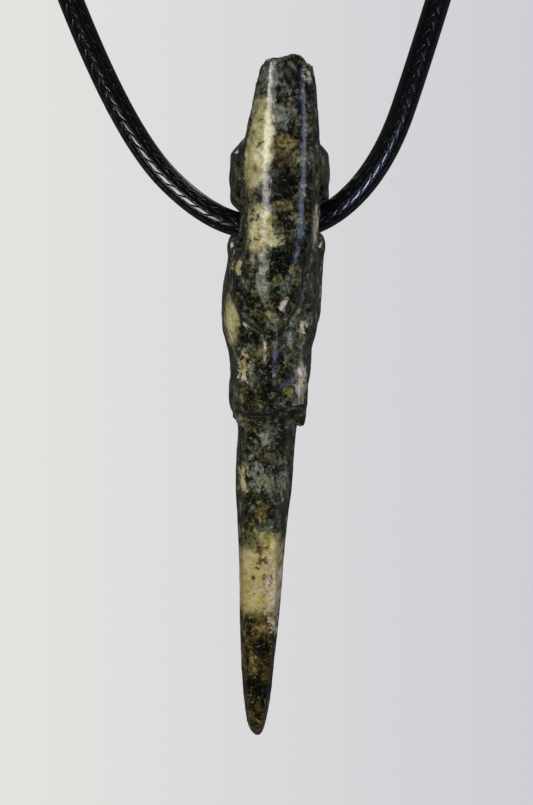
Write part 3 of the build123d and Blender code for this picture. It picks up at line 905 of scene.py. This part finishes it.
DARK = [
    (-1.9, -9, 3.4, 1.3, 2, 0.9, 0.8), (-2.2, -1.8, -50, 1.9, 2.5, 2.2, 0.35),
    (-2.4, -1, -56.5, 1.6, 2, 2.2, 0.35), (-2.6, -2, -48, 0.9, 2, 0.8, 0.7),
    (-1.3, -2, -48.4, 0.5, 2, 0.6, 0.8), (-2.4, -1.4, -51.6, 0.7, 1.6, 0.7, 0.7),
    (1.7, -7, 17.2, 1.7, 2.5, 2.5, 0.9), (1.6, -9, 10.6, 0.6, 1.2, 2.2, 0.9),
    (0.7, -9.4, 4.6, 1.6, 1.2, 2.4, 0.9), (0.1, -9.6, -4.8, 1.5, 1.2, 1.5, 0.95),
    (-0.2, -5.5, -36.6, 0.9, 2, 0.8, 0.7), (-1.6, -2.5, -49.9, 1.2, 1.6, 0.7, 0.7),
    (-4.9, -6.4, -3.6, 0.6, 2, 1, 0.85), (-5, -6.4, -7.4, 0.6, 2, 1.5, 0.85),
    (3, -7, -9.2, 0.45, 1.6, 1.6, 0.8), (-1.2, -9, -17.8, 0.35, 1.2, 1.6, 0.8),
    (0.5, -9, -17.6, 0.35, 1.2, 1.6, 0.8), (-2.3, -1.4, -55.6, 1.6, 2, 0.8, 0.7),
]
PALE_GREY_AND_HIGHLIGHT = [
    (0.4, -9, 13, 1.7, 1.4, 1.3, 0.45), (-2.6, -4.5, -29.8, 1, 1.8, 2, 0.15),
    # The second oval on the next line, high on the band's left edge, is a painted highlight: a pale
    # patch that widens the glint down the top of the band
    (0.5, -4.5, -31, 0.7, 2, 1.8, 0.15), (-1.1, -7.5, 16.4, 0.75, 1.8, 3.2, 0.5),
    (-1.8, -5, -25.8, 1.3, 2, 0.7, 0.2), (3.2, -6.6, 17.6, 0.6, 1.6, 1, 0.8),
    (-2.1, -9.2, -7, 0.75, 1.2, 2.4, 0.6), (-1.3, -5, -31.8, 0.45, 1.2, 0.6, 0.8),
    (-3.3, -1.6, -51.1, 0.3, 1.2, 0.4, 0.8), (1.9, -8.4, 2.2, 0.6, 1.2, 1.8, 0.5),
]
# Black grains in the cream: x, y, z and radius
SPECKS = [
    (-2.1, -3.9, -39.9, 0.34), (-1.6, -3.9, -40.3, 0.24), (-2.4, -3.9, -40.9, 0.22),
    (-3, -3.4, -42.3, 0.2), (-1.9, -3.6, -42.3, 0.22), (-0.7, -3.2, -42.1, 0.36),
    (-2.9, -3, -44.2, 0.18), (-2.2, -8.6, 12.2, 0.22), (-2.6, -8.4, 9, 0.24),
    (-1.5, -8.9, 6.9, 0.26), (-2.8, -8.6, 0.6, 0.34), (-2.9, -8.6, -2.2, 0.3),
    (-1.4, -9.4, 1.8, 0.24),
]


def stone_finish():
    """Dark green-black stone with grey and olive mottling, and patches of cream, pink and ochre.
    Noise bends all the patches' edges. Grooves get painted shade, a near-black coat by how deep they are
    cut, and are a little rougher, and the polish is a little uneven."""
    finish = Finish("speckled_dark_stone")
    place = finish.vector("SUBTRACT", finish.places(), tuple(value / MM for value in HOLE))
    bent = place
    for per_mm, detail, reach in ((0.85, 2, 2.2), (3.0, 3, 1.0)):
        drift = finish.noise(place, per_mm, detail, output=1)
        drift = finish.vector("SUBTRACT", drift, (0.5, 0.5, 0.5))
        bent = finish.vector("MULTIPLY_ADD", drift, (reach, reach, reach), bent)

    clump = finish.noise(place, 0.5, 6, 0.66, 0.3)
    grain = finish.noise(place, 1.9, 5, 0.72)
    mixed = clump * 0.55 + grain * 0.45
    ragged = (grain - 0.5) * 1.3
    holes = 0.54 - finish.noise(place, 1.4, 4, 0.6)

    def distance(middle, scale):
        """How far bent places lie from a middle, counted in each direction by its own scale."""
        away = finish.vector("MULTIPLY", finish.vector("SUBTRACT", bent, middle), scale)
        return finish.vector("LENGTH", away, output=1)

    def patches(rows):
        """How much the ovals in a table cover, from 0 to 1, with ragged and holed edges."""
        masks = []
        for x, y, z, wide, deep, high, fill in rows:
            away = distance((x, y, z), (1 / wide, 1 / deep, 1 / high)) + ragged
            away = away + holes * (PATCH_HOLES * (1 - fill))
            masks.append(finish.smooth(away, 1 + PATCH_EDGE, 1 - PATCH_EDGE))
        return reduce(Value.most, masks)

    milk = finish.noise(place, 0.75, 3, 0.5)
    cloud = milk * 0.6 + grain * 0.4
    up = finish.split(bent)[2]
    base = finish.ramp(mixed, [
        (0.43, 0.003, 0.004, 0.003), (0.485, 0.011, 0.013, 0.008), (0.53, 0.058, 0.065, 0.046),
        (0.58, 0.165, 0.172, 0.125), (0.65, 0.4, 0.4, 0.3),
    ])
    olive = finish.ramp(mixed, [
        (0.44, 0.004, 0.003, 0.002), (0.5, 0.03, 0.023, 0.006), (0.56, 0.125, 0.098, 0.018),
        (0.65, 0.34, 0.285, 0.075),
    ])
    cream = finish.ramp(cloud, [
        (0.36, 0.15, 0.115, 0.035), (0.41, 0.33, 0.275, 0.09), (0.46, 0.52, 0.46, 0.185),
        (0.54, 0.64, 0.59, 0.3), (0.64, 0.78, 0.75, 0.53),
    ])
    cream = finish.mix(finish.smooth(up, -37, -40) * 0.6, cream, (0.48, 0.37, 0.12))
    pink = finish.ramp(cloud, [(0.4, 0.3, 0.2, 0.12), (0.5, 0.66, 0.56, 0.44), (0.66, 0.82, 0.77, 0.67)])
    grey = finish.ramp(grain, [
        (0.38, 0.03, 0.034, 0.03), (0.5, 0.18, 0.195, 0.15), (0.62, 0.35, 0.37, 0.285),
    ])
    ochre = finish.ramp(grain, [
        (0.36, 0.02, 0.013, 0.004), (0.5, 0.15, 0.105, 0.03), (0.64, 0.38, 0.3, 0.12),
    ])
    dark = finish.ramp(grain, [
        (0.45, 0.002, 0.002, 0.001), (0.6, 0.01, 0.012, 0.008), (0.72, 0.08, 0.08, 0.055),
    ])

    warm = finish.smooth(finish.noise(place, 0.33, 4, 0.6), 0.44, 0.58, 0.0, 0.62)
    warm = warm.most(finish.smooth(up, -45.5, -47.5) * 0.95)
    pale_cover = patches(CREAM)
    veins = finish.smooth(abs(finish.noise(place, 0.9, 5, 0.6, 0.6) - 0.5), 0.035, 0.008) * pale_cover
    flecks = finish.smooth(finish.noise(place, 2.3, 4, 0.7), 0.59, 0.65) * (1 - pale_cover * 0.5)
    for x, y, z, size in SPECKS:
        away = distance((x, y, z), (1.0, 0.25, 1.0)) + ragged * 0.4
        flecks = flecks.most(finish.smooth(away, size * 1.6, size * 0.9))
    bright = finish.smooth(finish.noise(place, 2.9, 3, 0.6), 0.62, 0.69)
    carved = finish.node("Attribute", {"attribute_name": "carved"}, output=2)
    # Painted shade in the grooves: by the depth of each cut, it darkens the colour to near black in the
    # coats below and makes it rougher
    groove_shade_and_dullness = finish.smooth(carved, 0.03, 0.24)

    # Coats over the base, from the first to the last: how much each covers, and its colour
    colour = base
    for cover, coat in (
        (warm, olive),
        (finish.smooth(up, -46, -50) * 0.3, (0.01, 0.007, 0.002)),
        # pale grey patches of the stone, and one painted highlight
        (patches(PALE_GREY_AND_HIGHLIGHT), grey),
        (patches(DARK), dark),
        (pale_cover, cream),
        (patches(PINK), pink),
        (patches(OCHRE), ochre),
        (patches(RUST) * 0.75, (0.085, 0.042, 0.013)),
        (veins * 0.4, (0.11, 0.08, 0.028)),
        (flecks * 0.85, (0.008, 0.008, 0.007)),
        (bright * 0.35, (0.42, 0.4, 0.28)),
        # painted shade: grooves darkened to near black by their depth
        (groove_shade_and_dullness * 0.8, (0.006, 0.006, 0.005)),
    ):
        colour = finish.mix(cover, colour, coat)

    polish = finish.noise(place, 1.3, 4, 0.6)
    roughness = finish.smooth(polish, 0.3, 0.7, 0.07, 0.15) + groove_shade_and_dullness * 0.3
    pits = finish.smooth(finish.cells(place, 2.6), 0.02, 0.16)
    scratches = finish.noise(finish.vector("MULTIPLY", place, (3.5, 3.5, 0.7)), 1.0, 3)
    sparkle = finish.noise(place, 5.0, 2)
    height = grain * 0.4 + pits * 0.04 + scratches * 0.2 + milk * 0.3 + sparkle * 0.5
    normal = finish.bump(height, 0.06 * MM, 0.7)
    return finish.surface(
        Base_Color=colour, Roughness=roughness, Normal=normal, Specular_IOR_Level=0.9
    )


gargoyle = make_gargoyle()
gargoyle.data.materials.append(stone_finish())
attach(gargoyle, "pendant")
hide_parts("gargoyle")


# Clasp
def clasp_finish():
    """Brushed steel: fine rings round the barrel's own axis."""
    finish = Finish("clasp_steel")
    across = finish.vector("MULTIPLY", finish.places(), (6.0, 0.15, 0.15))
    rings = finish.noise(across, 1.0, 4)
    roughness = finish.smooth(rings, 0.3, 0.7, 0.24, 0.42)
    normal = finish.bump(rings, 0.01 * MM, 0.6)
    return finish.surface(
        Base_Color=(0.55, 0.55, 0.56, 1.0), Metallic=1.0, Roughness=roughness, Normal=normal
    )


clasp = frame["nodes"]["clasp"]
clasp.data.materials.clear()
clasp.data.materials.append(clasp_finish())

# Floor, which fades out before the camera's view reaches it
FLOOR_BELOW = 0.62
FLOOR_RADIUS = 1.8
FLOOR_FULL = 0.3
FLOOR_SIDES = 96


def floor_finish():
    """Pale and dull, with a little light of its own, and clearer the farther out it is."""
    finish = Finish("floor")
    away = finish.vector("LENGTH", finish.node("TexCoord", output=3), output=1)
    cover = finish.smooth(away, FLOOR_FULL, FLOOR_RADIUS, 1.0, 0.0)
    pale = finish.node("BsdfPrincipled", inputs={
        "Base Color": (0.75, 0.75, 0.75, 1.0),
        "Roughness": 0.9,
        "Emission Color": (0.98, 0.98, 1.0, 1.0),
        "Emission Strength": 0.16,
    })
    clear = finish.node("BsdfTransparent")
    shader = finish.node("MixShader", inputs={0: cover, 1: clear, 2: pale})
    finish.node("OutputMaterial", inputs={0: shader})
    return finish.owner


def make_floor():
    """A flat round face, at the cosine and sine of even turns. Reflections don't show it, so
    that the dark stone stays clear of its haze."""
    angle = turns(FLOOR_SIDES)
    ring = np.stack([FLOOR_RADIUS * np.cos(angle), FLOOR_RADIUS * np.sin(angle),
                     np.full(FLOOR_SIDES, -FLOOR_BELOW)], axis=1)
    mesh = bpy.data.meshes.new("floor")
    mesh.from_pydata(ring.tolist(), [], [list(range(FLOOR_SIDES))])
    made = show("floor", mesh, floor_finish())
    made.visible_glossy = False
    return made


make_floor()


# Light
def make_light(name, place, wide, high, watts, colour, matt=True, gloss=True, only=None):
    """A soft rectangle of light that faces the carving and isn't seen itself. It may light
    without a glint, make a glint alone, or reach one piece only."""
    lamp = bpy.data.lights.new(name, "AREA")
    lamp.shape = "RECTANGLE"
    lamp.size = wide
    lamp.size_y = high
    lamp.energy = watts
    lamp.color = colour
    light = show(name, lamp)
    light.location = place
    towards = HOLE + Vector((0, 0, -0.02)) - light.location
    light.rotation_euler = towards.to_track_quat("-Z", "Y").to_euler()
    light.visible_camera = False
    light.visible_diffuse = matt
    light.visible_glossy = gloss
    if only:
        reach = bpy.data.collections.new(name + "_reach")
        reach.objects.link(only)
        light.light_linking.receiver_collection = reach


WARM = (1.0, 0.98, 0.94)
COOL = (0.80, 0.87, 1.0)
BLUE = (0.56, 0.68, 1.0)
make_light("low_window", (-0.26, -0.50, -0.40), 0.12, 0.24, 1.1, WARM, gloss=False)
make_light("level_window", (-0.27, -0.50, -0.10), 0.10, 0.16, 0.65, WARM, gloss=False)
make_light("right_window", (0.38, -0.46, -0.24), 0.20, 0.30, 1.3, COOL, gloss=False)
make_light("stone_glint", (-0.26, -0.50, 0.07), 0.28, 0.50, 2.4, WARM, matt=False, only=gargoyle)
make_light("edge_glint", (0.37, -0.46, -0.02), 0.42, 0.46, 1.05, BLUE, matt=False, only=gargoyle)
make_light("plait_glint", (-0.215, -0.50, -0.36), 0.15, 0.18, 1.7, WARM, matt=False, only=cord)
make_light("low_strip", (0.24, -0.49, -0.33), 0.03, 0.16, 0.9, BLUE, matt=False, only=cord)
make_light("face_panel", (0.05, 0.50, 0.55), 1.1, 0.8, 8.0, (1.0, 0.99, 0.97))


# The air's light: how strong it is from behind the carving, from its sides and from before it,
# and the share of it that reflections show
BACK_LIGHT = 0.03
SIDE_LIGHT = 0.34
FRONT_LIGHT = 0.08
GLOSS_SHARE = 0.45


def make_world():
    """Pale air, warm on the left and cooler on the right. As light it is dim behind the
    carving's back, where the windows are, stronger round its face, and dim straight ahead of
    it, so that edges seen from behind stay dark. Reflections show it dimmer still."""
    air = Finish("studio", "worlds")
    bpy.context.scene.world = air.owner
    across, along, _ = air.split(air.node("TexCoord"))
    side = air.smooth(across, -0.05, 0.05, kind="LINEAR")
    tint = air.mix(side, (0.80, 0.79, 0.75), (0.60, 0.60, 0.66))
    seen = air.node("Background", inputs={0: tint})
    behind = air.smooth(along, -0.3, 0.45, BACK_LIGHT, SIDE_LIGHT, "LINEAR")
    ahead = air.smooth(along, 0.5, 0.85, 0.0, FRONT_LIGHT - SIDE_LIGHT, "LINEAR")
    glossy = air.node("LightPath", output="Is Glossy Ray")
    share = air.smooth(glossy, 0.0, 1.0, 1.0, GLOSS_SHARE, "LINEAR")
    inputs = {0: (0.95, 0.96, 1.0, 1.0), 1: (behind + ahead) * share}
    light = air.node("Background", inputs=inputs)
    camera = air.node("LightPath", output="Is Camera Ray")
    shader = air.node("MixShader", inputs={0: camera, 1: light, 2: seen})
    air.node("OutputWorld", inputs={0: shader})


make_world()
bpy.context.scene.view_settings.view_transform = "Standard"

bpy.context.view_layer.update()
